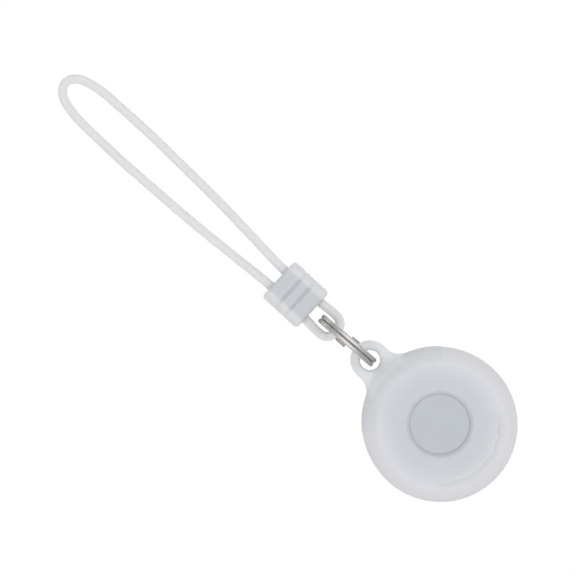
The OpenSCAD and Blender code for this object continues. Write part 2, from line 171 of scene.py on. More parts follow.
for name, number in (("From Min", SKY_DIM_FROM), ("From Max", SKY_DIM_TO), ("To Min", SKY_STRENGTH),
                     ("To Max", SKY_STRENGTH * SKY_STRAP_SIDE)):
    sky_dim.inputs[name].default_value = number
link(world.node_tree, sky_dim.outputs["Result"], sky_nodes["Background"].inputs["Strength"])

lamp_data = bpy.data.lights.new("softbox", "AREA")
lamp_data.energy = LAMP_POWER
lamp_data.size = LAMP_SIZE
lamp = bpy.data.objects.new("softbox", lamp_data)
lamp.location = LAMP_PLACE
lamp.rotation_euler = (-Vector(LAMP_PLACE)).to_track_quat("-Z", "Y").to_euler()
scene.collection.objects.link(lamp)
print("the floor lies", round(-FLOOR_Z / MM), "mm below the holder, the lamp", LAMP_PLACE[2], "m above it")

# %% [markdown]
# ## Finishes
# Every finish starts from one recipe: a base colour that drifts a little, a roughness that drifts too,
# and a fine bump at the size of the real grain. The patterns read Object coordinates, in metres, so one
# over the size of a feature is the texture's scale. Metals get their grain from a stretched noise,
# because brushing has a direction.

# %% A recipe for plastics, rubbers and metals
NO_STRETCH = (1, 1, 1)


def add(nodes, kind, **settings):
    """A new node with the given settings."""
    made = nodes.new(kind)
    for name, value in settings.items():
        setattr(made, name, value)
    return made


def noise(tree, coordinates, feature, detail=3.0, stretch=NO_STRETCH):
    """Noise whose spots are about feature metres across, from 0 to 1."""
    mapping = add(tree.nodes, "ShaderNodeMapping")
    mapping.inputs["Scale"].default_value = stretch
    texture = add(tree.nodes, "ShaderNodeTexNoise")
    texture.inputs["Scale"].default_value = 1 / feature
    texture.inputs["Detail"].default_value = detail
    link(tree, coordinates, mapping.inputs["Vector"])
    link(tree, mapping.outputs["Vector"], texture.inputs["Vector"])
    return texture.outputs["Fac"]


def remap(tree, value, low, high, from_low=0.3, from_high=0.7):
    """The value moved from its usual range to low and high."""
    made = add(tree.nodes, "ShaderNodeMapRange")
    link(tree, value, made.inputs["Value"])
    for name, number in (("From Min", from_low), ("From Max", from_high), ("To Min", low), ("To Max", high)):
        made.inputs[name].default_value = number
    return made.outputs["Result"]


def shade_mix(tree, share, dark, light):
    """A colour between two, by a share from 0 to 1."""
    made = add(tree.nodes, "ShaderNodeMix", data_type="RGBA")
    link(tree, share, made.inputs["Factor"])
    made.inputs[6].default_value = dark
    made.inputs[7].default_value = light
    return made.outputs[2]


def tone(colour, factor):
    """The colour made lighter or darker by a factor."""
    return tuple(min(1.0, c * factor) for c in colour[:3]) + (1,)


def finish_of(name, colour, rough, metal=0.0, drift=0.04, cloud=4 * MM, grain=0.15 * MM, bump=0.1,
              rough_drift=0.06, stretch=NO_STRETCH):
    """A material, with its tree, its shader and its coordinates for whatever is added later."""
    made = bpy.data.materials.new(name)
    made.use_nodes = True
    tree = made.node_tree
    surface = tree.nodes["Principled BSDF"]
    coordinates = add(tree.nodes, "ShaderNodeTexCoord").outputs["Object"]
    clouds = noise(tree, coordinates, cloud)
    grains = noise(tree, coordinates, grain, stretch=stretch)
    share = remap(tree, clouds, 0, 1)
    drifting = shade_mix(tree, share, tone(colour, 1 - drift), tone(colour, 1 + drift))
    link(tree, drifting, surface.inputs["Base Color"])
    link(tree, remap(tree, grains, rough - rough_drift, rough + rough_drift), surface.inputs["Roughness"])
    bumps = add(tree.nodes, "ShaderNodeBump")
    bumps.inputs["Strength"].default_value = bump
    bumps.inputs["Distance"].default_value = grain
    link(tree, grains, bumps.inputs["Height"])
    link(tree, bumps.outputs["Normal"], surface.inputs["Normal"])
    surface.inputs["Metallic"].default_value = metal
    return made, tree, surface, coordinates


print("clouds 4 mm across take a noise scale of", round(1 / (4 * MM)))

# %% [markdown]
# ## Translucent silicone
# Silicone rubber lets some light through and scatters the rest, so a thin cord on white looks lighter
# than the thick bead. Two parts do this: rough transmission shows what lies behind, blurred, and
# subsurface scattering softens the shading. Both are plain numbers on the shader, so that the export
# keeps them.

# %% Silicone
SILICONE_IOR = 1.41


def silicone(name, colour, through, rough=0.42, scatter=1.2 * MM, scattered=0.35, shine=0.5):
    """Silicone that lets a share of the light through and scatters another share."""
    made, _, surface, _ = finish_of(name, colour, rough, drift=0.012, cloud=5 * MM, grain=0.2 * MM,
                                    bump=0.04, rough_drift=0.04)
    surface.inputs["IOR"].default_value = SILICONE_IOR
    surface.inputs["Specular IOR Level"].default_value = shine
    surface.inputs["Transmission Weight"].default_value = through
    surface.inputs["Subsurface Weight"].default_value = scattered
    surface.inputs["Subsurface Radius"].default_value = (1, 1, 1)
    surface.inputs["Subsurface Scale"].default_value = scatter
    return made


CORD_COLOUR = (0.842, 0.842, 0.855)
cord_finish = silicone("cord_silicone", CORD_COLOUR, through=0.08, rough=0.6, scattered=0.7, shine=0.2)
print("the cord's silicone is", CORD_COLOUR, "and bends light by", SILICONE_IOR)

# %% [markdown]
# ## The cord
# The cord is one endless moulded loop. It passes through the split ring, runs twice through the bead and
# makes a long narrow loop, which lies on the surface. Its centre line is the CAD model's own route, moved
# by up to a quarter of a millimetre in the small loop. A spline through every point rounds it, and
# Geometry Nodes sweep a circle along it. The line starts inside the bead, where no start can show. The
# small loop leans up, because it goes round the wire of a ring that stands on its edge.

# %% The cord's route
STRAP_Y = 0.6
HALF_ROUTE = [
    (35.4, 0, 4.8), (35.45, 1, 4.8), (35.75, 1.9, 4.8), (36.4, 2.6, 4.8), (37.3, 3, 4.7),
    (38.3, 3.1, 4.5), (39.5, 3.12, 4.2), (41.3, 2.95, 3.68), (43.3, 2.82, 3.42), (46.3, 2.8, 3.4),
    (49.3, 2.75, 3.4), (52.3, 2.7, 3.4), (55.4, 2.65, 3.4), (58, 2.75, 3.25), (62, 3, 2.6),
    (66, 3.3, 1.9), (70, 3.55, 1.4), (75, 3.9, 1.2), (80, 4.2, 1.2), (85, 4.4, 1.2),
    (90, 4.55, 1.2), (95, 4.7, 1.2), (100, 4.85, 1.2), (105, 4.95, 1.2), (110, 4.9, 1.2),
    (114, 4.85, 1.2), (117.5, 4.8, 1.2), (120.5, 4.6, 1.2), (123, 4.2, 1.2), (125.2, 3.65, 1.2),
    (126.9, 2.8, 1.2), (128.1, 1.6, 1.2), (128.6, 0, 1.2),
]
CORD_DIAMETER = 2.35 * MM
ROUTE_STEPS = 8
START_IN_BEAD = 10


def closed_spline(points, steps):
    """Points on a smooth closed line through the given ones."""
    before, after, beyond = (np.roll(points, n, axis=0) for n in (1, -1, -2))
    linear = after - before
    square = 2 * before - 5 * points + 4 * after - beyond
    cube = 3 * points - before - 3 * after + beyond
    made = [0.5 * (2 * points + linear * t + square * t**2 + cube * t**3)
            for t in np.linspace(0, 1, steps, endpoint=False)]
    return np.stack(made, axis=1).reshape(-1, 3)


one_side = [(x - FRAME_X, STRAP_Y + y, z) for x, y, z in HALF_ROUTE]
other_side = [(x - FRAME_X, STRAP_Y - y, z) for x, y, z in HALF_ROUTE[-2:0:-1]]
route = np.array(one_side + other_side) * MM
route = np.roll(route, -START_IN_BEAD, axis=0)
cord_line = closed_spline(route, ROUTE_STEPS)
cord_path = np.vstack([cord_line, cord_line[:1]])
cord_length = float(np.linalg.norm(np.diff(cord_path, axis=0), axis=1).sum())
print("cord length:", round(cord_length, 4), "m")

# %% [markdown]
# ## Helpers for Geometry Nodes
# A node tree gets named inputs, so its sizes can be changed without opening it. A modifier keeps its
# inputs by the socket's identifier, which differs from the name, so the helper looks it up. The evaluated
# result becomes a plain mesh, and the modifier goes.

# %% Node tree helpers
GEOMETRY = "NodeSocketGeometry"
FLOAT = "NodeSocketFloat"
WHOLE = "NodeSocketInt"
MATERIAL = "NodeSocketMaterial"


def new_tree(name, inputs):
    """An empty node tree, with the sockets that its inputs come from and its result goes to."""
    tree = bpy.data.node_groups.new(name, "GeometryNodeTree")
    tree.interface.new_socket("Geometry", in_out="INPUT", socket_type=GEOMETRY)
    for label, kind in inputs:
        tree.interface.new_socket(label, in_out="INPUT", socket_type=kind)
    tree.interface.new_socket("Geometry", in_out="OUTPUT", socket_type=GEOMETRY)
    return tree, tree.nodes.new("NodeGroupInput").outputs, tree.nodes.new("NodeGroupOutput").inputs


def maths(tree, operation, *values):
    """A Math node; each value is a number or another node's output."""
    made = add(tree.nodes, "ShaderNodeMath", operation=operation)
    for socket, value in zip(made.inputs, values):
        if isinstance(value, bpy.types.NodeSocket):
            link(tree, value, socket)
        else:
            socket.default_value = value
    return made.outputs[0]


def distance(tree, a, b):
    """How far the point a, b lies from nought."""
    squares = [maths(tree, "MULTIPLY", value, value) for value in (a, b)]
    return maths(tree, "SQRT", maths(tree, "ADD", *squares))


def smooth_step(tree, value, start, end, low, high):
    """From low before start to high after end, with an even turn in between."""
    made = add(tree.nodes, "ShaderNodeMapRange", interpolation_type="SMOOTHSTEP")
    for socket, number in zip(made.inputs, (value, start, end, low, high)):
        if isinstance(number, bpy.types.NodeSocket):
            link(tree, number, socket)
        else:
            socket.default_value = number
    return made.outputs[0]


def finish_tree(tree, geometry, material, output):
    """The tree's last nodes: smooth shading, real geometry and the material."""
    smooth = add(tree.nodes, "GeometryNodeSetShadeSmooth")
    real = add(tree.nodes, "GeometryNodeRealizeInstances")
    painted = add(tree.nodes, "GeometryNodeSetMaterial")
    link(tree, geometry, smooth.inputs["Geometry"])
    link(tree, smooth.outputs["Geometry"], real.inputs["Geometry"])
    link(tree, real.outputs["Geometry"], painted.inputs["Geometry"])
    link(tree, material, painted.inputs["Material"])
    link(tree, painted.outputs["Geometry"], output)


def grow(name, tree, base, values):
    """An object whose mesh is what the tree makes of the base mesh."""
    made = bpy.data.objects.new(name, base)
    scene.collection.objects.link(made)
    modifier = made.modifiers.new("nodes", "NODES")
    modifier.node_group = tree
    inputs = [s for s in tree.interface.items_tree if s.item_type == "SOCKET" and s.in_out == "INPUT"]
    sockets = {s.name: s.identifier for s in inputs}
    for label, value in values.items():
        modifier[sockets[label]] = value
    evaluated = made.evaluated_get(bpy.context.evaluated_depsgraph_get())
    plain = bpy.data.meshes.new_from_object(evaluated)
    made.modifiers.clear()
    made.data = plain
    plain.name = name
    print(name, "has", len(plain.polygons), "faces, size in mm:", [round(d / MM, 2) for d in made.dimensions])
    return made


print("a tree's inputs are of the kinds", [FLOAT, WHOLE, MATERIAL])

# %% Sweep the cord
CORD_SIDES = 20


def sweep_tree():
    """A circle swept along the base mesh's line."""
    tree, given, result = new_tree("swept_cord", [
        ("Diameter", FLOAT), ("Sides", WHOLE), ("Material", MATERIAL)])
    line = add(tree.nodes, "GeometryNodeMeshToCurve")
    circle = add(tree.nodes, "GeometryNodeCurvePrimitiveCircle")
    sweep = add(tree.nodes, "GeometryNodeCurveToMesh")
    link(tree, given["Geometry"], line.inputs["Mesh"])
    link(tree, given["Sides"], circle.inputs["Resolution"])
    link(tree, maths(tree, "MULTIPLY", given["Diameter"], 0.5), circle.inputs["Radius"])
    link(tree, line.outputs["Curve"], sweep.inputs["Curve"])
    link(tree, circle.outputs["Curve"], sweep.inputs["Profile Curve"])
    finish_tree(tree, sweep.outputs["Mesh"], given["Material"], result["Geometry"])
    return tree


line_mesh = bpy.data.meshes.new("cord_line")
count = len(cord_line)
line_mesh.from_pydata([tuple(p) for p in cord_line], [(i, (i + 1) % count) for i in range(count)], [])
strap_loop = grow("strap_loop", sweep_tree(), line_mesh,
                  {"Diameter": CORD_DIAMETER, "Sides": CORD_SIDES, "Material": cord_finish})

# %% [markdown]
# ## The split ring
# The ring is one flat wire wound twice. The two turns lie side by side and almost touch, and the wire
# changes to the other lane near the floor, between two ends that stick out so that a fingernail gets in.
# The rule is short: the angle runs from nought to two full turns, and the lane follows from the angle, by
# a slope for the crossing and a smooth step for each end. The ring leans a little, as it does in the
# photograph, so its side shows from above.

# %% The split ring's sizes
RING_D = 17.8 * MM
WIRE_W = 1.17 * MM
WIRE_H = 1.6 * MM
WIRE_CORNER = 0.45 * MM
TURN_GAP = 0.06 * MM
CROSSING_RUN = 3.4 * MM
END_GAP = 0.03 * MM
END_RUN = 2.5 * MM
END_RAMP = 0.6 * MM
WIRE_CORNER_CUTS = 5
RING_YAW = math.radians(2)
RING_ROLL = math.radians(4)
RING_LEAN = math.radians(0.55)
RING_IN_HOLE = 0.25 * MM
RING_R = (RING_D - WIRE_H) / 2
LUG_X = 24.2
LUG_Z = 5.5
RING_REACH = RING_IN_HOLE + math.sqrt(RING_R**2 - (RING_D / 2 - LUG_Z * MM) ** 2)
RING_STEPS = 360
TWO_TURNS = 4 * math.pi
print("the ring's middle lies", round(RING_REACH / MM, 2), "mm from the lug hole's")


# %% The ring's rule
def ring_tree():
    """Two turns of wire, lying flat round the origin, with the crossing between the two ends."""
    tree, given, result = new_tree("wound_ring", [
        ("Radius", FLOAT), ("Lane", FLOAT), ("Lifted lane", FLOAT), ("Crossing angle", FLOAT),
        ("End angle", FLOAT), ("Ramp angle", FLOAT), ("Wire width", FLOAT), ("Wire height", FLOAT),
        ("Corner", FLOAT), ("Steps", WHOLE), ("Material", MATERIAL)])
    line = add(tree.nodes, "GeometryNodeMeshLine")
    index = add(tree.nodes, "GeometryNodeInputIndex").outputs[0]
    angle = maths(tree, "MULTIPLY", maths(tree, "DIVIDE", index, given["Steps"]), TWO_TURNS)
    link(tree, maths(tree, "ADD", given["Steps"], 1), line.inputs["Count"])
    lane, end, cross = given["Lane"], given["End angle"], given["Crossing angle"]
    one_turn = TWO_TURNS / 2
    slope_there = maths(tree, "DIVIDE", maths(tree, "SUBTRACT", angle, one_turn), cross)
    slope_there = maths(tree, "MINIMUM", maths(tree, "MAXIMUM", slope_there, -1.0), 1.0)
    crossing = maths(tree, "MULTIPLY", slope_there, lane)
    lift = maths(tree, "SUBTRACT", given["Lifted lane"], lane)
    ramp_end = maths(tree, "ADD", end, given["Ramp angle"])
    first = smooth_step(tree, angle, end, ramp_end, maths(tree, "MULTIPLY", lift, -1), 0.0)
    last = smooth_step(tree, angle, maths(tree, "SUBTRACT", TWO_TURNS, ramp_end),
                       maths(tree, "SUBTRACT", TWO_TURNS, end), 0.0, lift)
    height = maths(tree, "ADD", crossing, maths(tree, "ADD", first, last))
    place = add(tree.nodes, "ShaderNodeCombineXYZ")
    inward = maths(tree, "MULTIPLY", given["Radius"], -1)
    link(tree, maths(tree, "MULTIPLY", maths(tree, "SINE", angle), inward), place.inputs["X"])
    link(tree, maths(tree, "MULTIPLY", maths(tree, "COSINE", angle), inward), place.inputs["Y"])
    link(tree, maths(tree, "MULTIPLY", height, -1), place.inputs["Z"])
    wound = add(tree.nodes, "GeometryNodeSetPosition")
    link(tree, line.outputs["Mesh"], wound.inputs["Geometry"])
    link(tree, place.outputs[0], wound.inputs["Position"])
    curve = add(tree.nodes, "GeometryNodeMeshToCurve")
    link(tree, wound.outputs["Geometry"], curve.inputs["Mesh"])
    level = add(tree.nodes, "GeometryNodeSetCurveNormal")
    level.mode = "Z_UP"
    link(tree, curve.outputs["Curve"], level.inputs["Curve"])
    section = add(tree.nodes, "GeometryNodeCurvePrimitiveQuadrilateral")
    link(tree, given["Wire height"], section.inputs["Width"])
    link(tree, given["Wire width"], section.inputs["Height"])
    rounded = add(tree.nodes, "GeometryNodeFilletCurve")
    rounded.mode = "POLY"
    rounded.inputs["Count"].default_value = WIRE_CORNER_CUTS
    link(tree, section.outputs["Curve"], rounded.inputs["Curve"])
    link(tree, given["Corner"], rounded.inputs["Radius"])
    sweep = add(tree.nodes, "GeometryNodeCurveToMesh")
    sweep.inputs["Fill Caps"].default_value = True
    link(tree, level.outputs["Curve"], sweep.inputs["Curve"])
    link(tree, rounded.outputs["Curve"], sweep.inputs["Profile Curve"])
    finish_tree(tree, sweep.outputs["Mesh"], given["Material"], result["Geometry"])
    return tree


# %% [markdown]
# ## Tints by mask
# A finish that changes over a piece is a plain colour moved towards others, each by a mask: a number that
# is 1 where the other colour shows and nought elsewhere.

# %% A tint
def tint(tree, colour, mask, towards, strength=1.0):
    """The colour moved towards another where the mask is 1."""
    made = add(tree.nodes, "ShaderNodeMix", data_type="RGBA")
    link(tree, maths(tree, "MULTIPLY", mask, strength), made.inputs["Factor"])
    for socket, value in ((made.inputs[6], colour), (made.inputs[7], towards)):
        if isinstance(value, bpy.types.NodeSocket):
            link(tree, value, socket)
        else:
            socket.default_value = value
    return made.outputs[2]


# %% [markdown]
# ## Tumbled steel
# Such rings are polished by tumbling, so the outer face and the edges of the wire get a satin shine. The
# inner face is painted darker: painted shade, standing in for the dark things that it reflects inside the
# ring. Seen at a grazing angle this steel is darker than polished chrome, which is the shader's edge tint.
# The distance from the ring's axis tells the inner face from the outer one.

# %% The ring's steel
RING_CENTRE = ((LUG_X - FRAME_X) * MM + RING_REACH, RING_D / 2)
RING_STEEL = (0.62, 0.61, 0.605)
# Painted shade for the ring's inner face.
RING_INSIDE_SHADE = (0.38, 0.375, 0.37, 1)
RING_ROUGH = 0.35
RING_EDGE_TINT = (0.45, 0.45, 0.45, 1)
INSIDE_FROM = RING_R - 0.5 * MM
INSIDE_TO = RING_R + 0.1 * MM


def ring_steel():
    """Satin steel whose inner face is painted darker, as painted shade."""
    made, tree, surface, place = finish_of("ring_steel", RING_STEEL, RING_ROUGH, metal=1.0, drift=0.05,
                                           cloud=1.5 * MM, grain=0.05 * MM, bump=0.02, rough_drift=0.05)
    split = add(tree.nodes, "ShaderNodeSeparateXYZ")
    link(tree, place, split.inputs[0])
    x = maths(tree, "SUBTRACT", split.outputs["X"], RING_CENTRE[0])
    z = maths(tree, "SUBTRACT", split.outputs["Z"], RING_CENTRE[1])
    radius = distance(tree, x, z)
    # Painted shade: the inner face is darkened towards a dim steel colour.
    inside = smooth_step(tree, radius, INSIDE_FROM, INSIDE_TO, 1.0, 0.0)
    plain = surface.inputs["Base Color"].links[0].from_socket
    link(tree, tint(tree, plain, inside, RING_INSIDE_SHADE), surface.inputs["Base Color"])
    surface.inputs["Specular Tint"].default_value = RING_EDGE_TINT
    return made


ring_finish = ring_steel()
# The inner face's darker colour is painted shade.
print("the dull inner face ends", round(INSIDE_TO / MM, 2), "mm from the ring's axis")

# %% Wind the ring
lane = (WIRE_W + TURN_GAP) / 2
split_ring = grow("key_ring", ring_tree(), bpy.data.meshes.new("empty"), {
    "Radius": RING_R, "Lane": lane, "Lifted lane": WIRE_W + END_GAP, "Crossing angle": CROSSING_RUN / RING_R,
    "End angle": END_RUN / RING_R, "Ramp angle": END_RAMP / RING_R, "Wire width": WIRE_W,
    "Wire height": WIRE_H, "Corner": WIRE_CORNER, "Steps": RING_STEPS, "Material": ring_finish})
leaning = Matrix.Rotation(RING_LEAN, 4, "X")
rolled = Matrix.Rotation(RING_ROLL, 4, "Y")
stand_up = leaning @ rolled @ Matrix.Rotation(math.pi / 2, 4, "X")
out_of_lug = Matrix.Translation((RING_REACH, 0, 0))
turned = Matrix.Rotation(RING_YAW, 4, "Z")
at_lug = Matrix.Translation(((LUG_X - FRAME_X) * MM, 0, RING_D / 2))
split_ring.data.transform(at_lug @ turned @ out_of_lug @ stand_up)

# %% [markdown]
# ## Soft mouldings from a distance rule
# A soft moulding has no sharp edge anywhere. One way to get that is to describe it by a number at each
# point of space: less than nought inside, more outside. Shapes are joined with a smooth minimum, which
# fills each corner with a fillet, and cut with a smooth maximum, which rounds each rim. A net of small
# squares is then laid where the number changes sign, evened out, and pulled exactly onto the surface.

# %% A net over a distance rule
CORNERS = [(i, j, k) for i in (0, 1) for j in (0, 1) for k in (0, 1)]
LEAST_SLOPE = 0.05


def smooth_min(a, b, k):
    """The smaller of two rules, with a fillet about k across."""
    h = np.clip(0.5 + 0.5 * (b - a) / k, 0, 1)
    return b + (a - b) * h - k * h * (1 - h)


def smooth_max(a, b, k):
    """The larger of two rules, with an edge rounded about k across."""
    return -smooth_min(-a, -b, k)


def slope(field, points, reach=0.01):
    """The rule's steepest direction at each point."""
    out = np.empty_like(points)
    for axis in range(3):
        step = np.zeros(3)
        step[axis] = reach
        out[:, axis] = (field(points + step) - field(points - step)) / (2 * reach)
    return out


def pull(field, points, times=3):
    """Moves each point down or up the slope until the rule is nought there."""
    for _ in range(times):
        way = slope(field, points)
        points = points - way * (field(points) / np.maximum((way**2).sum(1), LEAST_SLOPE))[:, None]
    return points


def even_out(points, quads, times=4, share=0.5):
    """Moves each point towards the middle of its neighbours."""
    ends = np.vstack([quads[:, [i, (i + 1) % 4]] for i in range(4)])
    for _ in range(times):
        total, number = np.zeros_like(points), np.zeros(len(points))
        for a, b in (ends.T, ends.T[::-1]):
            np.add.at(total, a, points[b])
            np.add.at(number, a, 1)
        points = points + share * (total / number[:, None] - points)
    return points


def net(field, low, high, step):
    """Points and squares of the surface where the rule is nought. Sizes are in millimetres."""
    axes = [np.arange(a, b + step, step) for a, b in zip(low, high)]
    grid = np.stack(np.meshgrid(*axes, indexing="ij"), axis=-1)
    shape = grid.shape[:3]
    inside = (field(grid.reshape(-1, 3)) < 0).reshape(shape)
    cells = tuple(n - 1 for n in shape)
    filled = sum(inside[i:cells[0] + i, j:cells[1] + j, k:cells[2] + k].astype(int) for i, j, k in CORNERS)
    crossed = (filled > 0) & (filled < len(CORNERS))
    number = np.full(cells, -1)
    number[crossed] = np.arange(crossed.sum())
    points = np.argwhere(crossed) * step + [a[0] + step / 2 for a in axes]
    quads = []
    for axis in range(3):
        one, two = [(1, 2), (2, 0), (0, 1)][axis]
        here = np.take(inside, range(cells[axis]), axis)
        there = np.take(inside, range(1, shape[axis]), axis)
        for starts, reverse in ((here & ~there, False), (~here & there, True)):
            at = np.argwhere(starts)
            u, v = at[:, one], at[:, two]
            at = at[(u > 0) & (v > 0) & (u < cells[one]) & (v < cells[two])]
            around = []
            for a, b in ((1, 1), (0, 1), (0, 0), (1, 0)):
                cell = at.copy()
                cell[:, one] -= a
                cell[:, two] -= b
                around.append(number[tuple(cell.T)])
            square = np.stack(around, axis=1)
            quads.append(square[:, ::-1] if reverse else square)
    return points, np.vstack(quads)


def moulding(name, field, low, high, step, finish):
    """An object with the surface of a rule."""
    points, quads = net(field, low, high, step)
    points = pull(field, points)
    for _ in range(2):
        points = pull(field, even_out(points, quads))
    mesh = bpy.data.meshes.new(name)
    mesh.from_pydata((points * MM).tolist(), [], quads.tolist())
    mesh.polygons.foreach_set("use_smooth", [True] * len(mesh.polygons))
    mesh.materials.append(finish)
    made = bpy.data.objects.new(name, mesh)
    scene.collection.objects.link(made)
    off = float(abs(field(points)).max())
    print(name, "has", len(quads), "squares, off the rule by at most", round(off, 4), "mm")
    return made


print("a cell of the net has", len(CORNERS), "corners")

# %% [markdown]
# ## The case
# The case is a round cushion-like shell with a pocket for the tag, a window above and an opening below. A
# thin flat collar runs round the lug's side and grows out into the lug. It is a hair thicker on the lug's
# side, which the photograph shows as a small step in the outline.

# %% The case's sizes
CASE_H = 10.6
CASE_EDGE = 4.2
POCKET_R = 16.05
WALL = 1.2
CEILING = 9.32
POCKET_EDGE = 3.5
WINDOW_R = 7.3
WINDOW_FLARE = 1.2
WINDOW_SHIFT = 0.35
BACK_R = 12.5
LUG_R = 5.0
LUG_HOLE_R = 2.55
LUG_T = 2.6
LUG_EDGE = 1.0
COLLAR_SHIFT = 1.2
COLLAR_R = 19.1
COLLAR_END = math.radians(48)
COLLAR_DROP = 0.1
KNEE = 3.2
LIP_ROUND = 0.55
LIP_FOOT = 0.12
HOLE_ROUND = 0.8
JOIN_ROUND = 0.5
LUG_ROOT = 4.0
print("the case's rim is", round(CASE_R - POCKET_R, 2), "mm thick, the lug", LUG_T, "mm")


# %% The case's rule
def round_disc(across, height, radius, half, edge):
    """The rule of a disc whose edge is rounded."""
    out = np.stack([across - radius + edge, np.abs(height) - half + edge], axis=1)
    return np.hypot(*np.maximum(out, 0).T) + np.minimum(out.max(1), 0) - edge


def case_rule(p):
    """Less than nought inside the silicone: body and lug, less the pocket, the mouths and the hole."""
    x, y, z = p[:, 0] + FRAME_X, p[:, 1], p[:, 2]
    across, middle = np.hypot(x, y), z - CASE_H / 2
    body = round_disc(across, middle, CASE_R, CASE_H / 2, CASE_EDGE)
    ends = np.clip((np.abs(np.arctan2(y, x)) - COLLAR_END) * CASE_R / COLLAR_DROP, 0, 1)
    collar = np.hypot(x - COLLAR_SHIFT, y) - COLLAR_R + COLLAR_DROP * ends
    tongue = np.hypot(x - np.clip(x, 0, LUG_X), y) - LUG_R
    plan = smooth_min(collar, tongue, KNEE)
    slab = round_disc(plan, z - LUG_Z, 0, LUG_T / 2, LUG_EDGE)
    on_lug = np.clip(1 - (np.abs(y) / (LUG_R + KNEE / 2)) ** 2, 0, 1) * (x > 0)
    solid = smooth_min(body, slab, JOIN_ROUND + (LUG_ROOT - JOIN_ROUND) * on_lug)
    pocket = round_disc(across, middle, POCKET_R, CEILING - CASE_H / 2, POCKET_EDGE)
    solid = np.maximum(solid, -pocket)
    up_lip = np.clip((z - CASE_H + WALL) / WALL, 0, 1)
    window = np.hypot(x - WINDOW_SHIFT, y) - WINDOW_R - WINDOW_FLARE * up_lip
    mouth = np.where(z > CASE_H / 2, window, across - BACK_R)
    rounding = np.where(z > CASE_H / 2, LIP_FOOT + (LIP_ROUND - LIP_FOOT) * up_lip, LIP_ROUND)
    solid = smooth_max(solid, -mouth, rounding)
    hole = np.hypot(x - LUG_X, y) - LUG_HOLE_R
    return smooth_max(solid, -hole, HOLE_ROUND)


# %% [markdown]
# ## What shows through the case, and painted light and shade
# A soft case clings to its tag in some places and not in others. Over part of the rim's inner side it comes
# away from the tag, and beyond a wavy border the face looks greyer there. A faint painted highlight marks the
# tag's edge. The face grows lighter towards it, but less so on the lug's side, where it gets painted shade.
# The thick rim is more neutral than the thin face, and the part of the rim that carries the lug is a shade
# darker. The lug is lighter, partly from its own thin silicone and partly from painted light over the shade
# of its root's fillet. The window's lip foot and the case's outline get painted shade. All of these lie round
# the case's axis, so the material works out a radius and an angle from the object's coordinates.

# %% The case's colours, and where they change
WHITE = (1, 1, 1, 1)
CASE_FACE = (0.772, 0.797, 0.833)
CASE_FACE_EDGE = (0.85, 0.876, 0.91)
CASE_FACE_EVEN = 10.6
CASE_RIM = (0.867, 0.859, 0.893)
CASE_LUG_SIDE = (0.812, 0.837, 0.863)
# The lug's colour: its thin silicone's own lighter tone, and painted light over its root's fillet.
CASE_LUG_TONE_AND_LIGHT = (0.91, 0.935, 0.96)
LUG_SHADE = 0.55
LUG_SHADE_FROM = math.radians(20)
LUG_SHADE_TO = math.radians(50)
LIP_SHADE = (0.58, 0.60, 0.63)
CASE_THROUGH = 0.2
LIP_FOOT_SHADE = 0.02
OUTLINE_FROM = CASE_R - 0.9
OUTLINE_TO = CASE_R - 0.1
OUTLINE_SHADE = 0.2
RIM_FROM = POCKET_R - 0.1
RIM_TO = POCKET_R + 0.5
LUG_FROM = CASE_R - 1.8
LUG_TO = CASE_R - 0.6
LUG_SIDE_BLUR = 0.01
TAG_LINE_R = 15.75
TAG_LINE_W = 0.4
# Strength of the painted highlight at the tag's edge.
TAG_LINE_HIGHLIGHT = 0.16
CLING_R = 14.5
CLING_WAVE = 3.2
CLING_WANDER = 1.6
CLING_JAG = 0.9
CLING_JAGGED = 1.0
CLING_DETAIL = 6.0
CLING_FACING = math.radians(182)
CLING_FREE = (0.806, 0.808, 0.832)
CLING_REACH = math.radians(56)
CLING_END_BLUR = 0.2
CLING_BLUR = 0.1
CLING_AT_RIM = 0.3
CLING_LINE = 0.2
CLING_LIGHT_W = 0.25
CLING_LIGHT = 0.28
CLING_DARK_W = 0.3
CLING_DARK = 0.1
print("the border lies", CLING_R, "mm from the case's axis, and the tag's edge line", TAG_LINE_R, "mm")


# %% The case's silicone
def near(tree, value, place, width):
    """1 where the value is at the place, fading to 0 at the width."""
    away = maths(tree, "ABSOLUTE", maths(tree, "SUBTRACT", value, place))
    return smooth_step(tree, away, 0.0, width, 1.0, 0.0)


